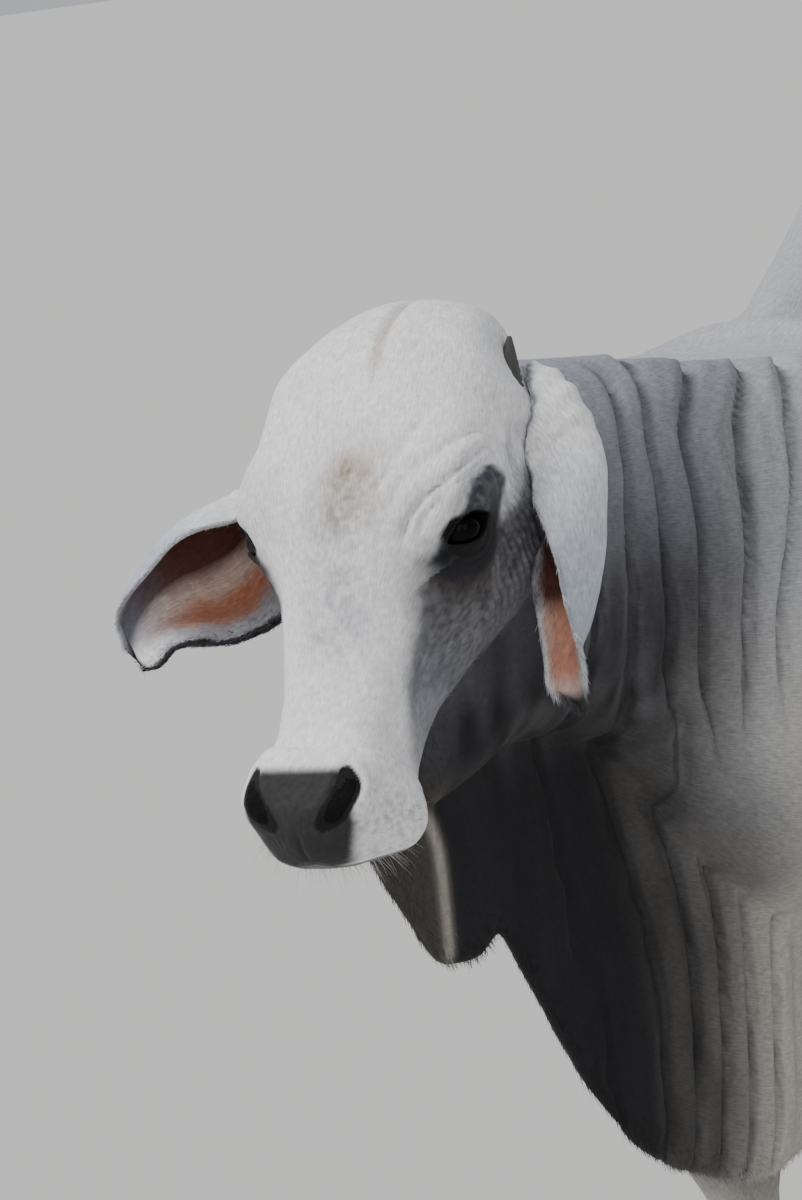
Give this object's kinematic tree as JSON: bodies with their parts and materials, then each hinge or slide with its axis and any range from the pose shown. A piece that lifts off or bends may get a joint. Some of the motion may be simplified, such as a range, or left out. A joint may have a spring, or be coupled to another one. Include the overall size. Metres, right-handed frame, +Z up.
{
  "type": "brahman cattle",
  "caption": "Life-size still model of a standing silver-grey humped bull with hanging ears, a deep dewlap and folded neck skin.",
  "frame": {"origin": "on the floor under the middle of the whole animal's box", "axes": "the animal faces -Y, its left side is +X, and +Z is up"},
  "size_m": [0.6608, 2.3126, 1.555],
  "materials": {
    "hide_pale": "short white to silver hair over pigmented skin",
    "hide_grey": "short mid grey hair over folded skin",
    "hide_dark": "short charcoal hair over loose skin",
    "eye": "wet, nearly black",
    "horn": "rough grey-brown horn",
    "hoof": "dark ringed horn"
  },
  "bodies": {
    "root": {"head": "hide_pale", "ear_left": "hide_pale", "ear_right": "hide_pale", "eye_left": "eye", "eye_right": "eye", "horn_left": "horn", "horn_right": "horn", "neck": "hide_grey", "dewlap": "hide_dark", "hump": "hide_grey", "torso": "hide_pale", "foreleg_left": "hide_pale", "foreleg_right": "hide_pale", "hindleg_left": "hide_pale", "hindleg_right": "hide_pale", "tail": "hide_grey", "forehoof_left_outer": "hoof", "forehoof_left_inner": "hoof", "forehoof_right_outer": "hoof", "forehoof_right_inner": "hoof", "hindhoof_left_outer": "hoof", "hindhoof_left_inner": "hoof", "hindhoof_right_outer": "hoof", "hindhoof_right_inner": "hoof"}
  },
  "joints": []
}
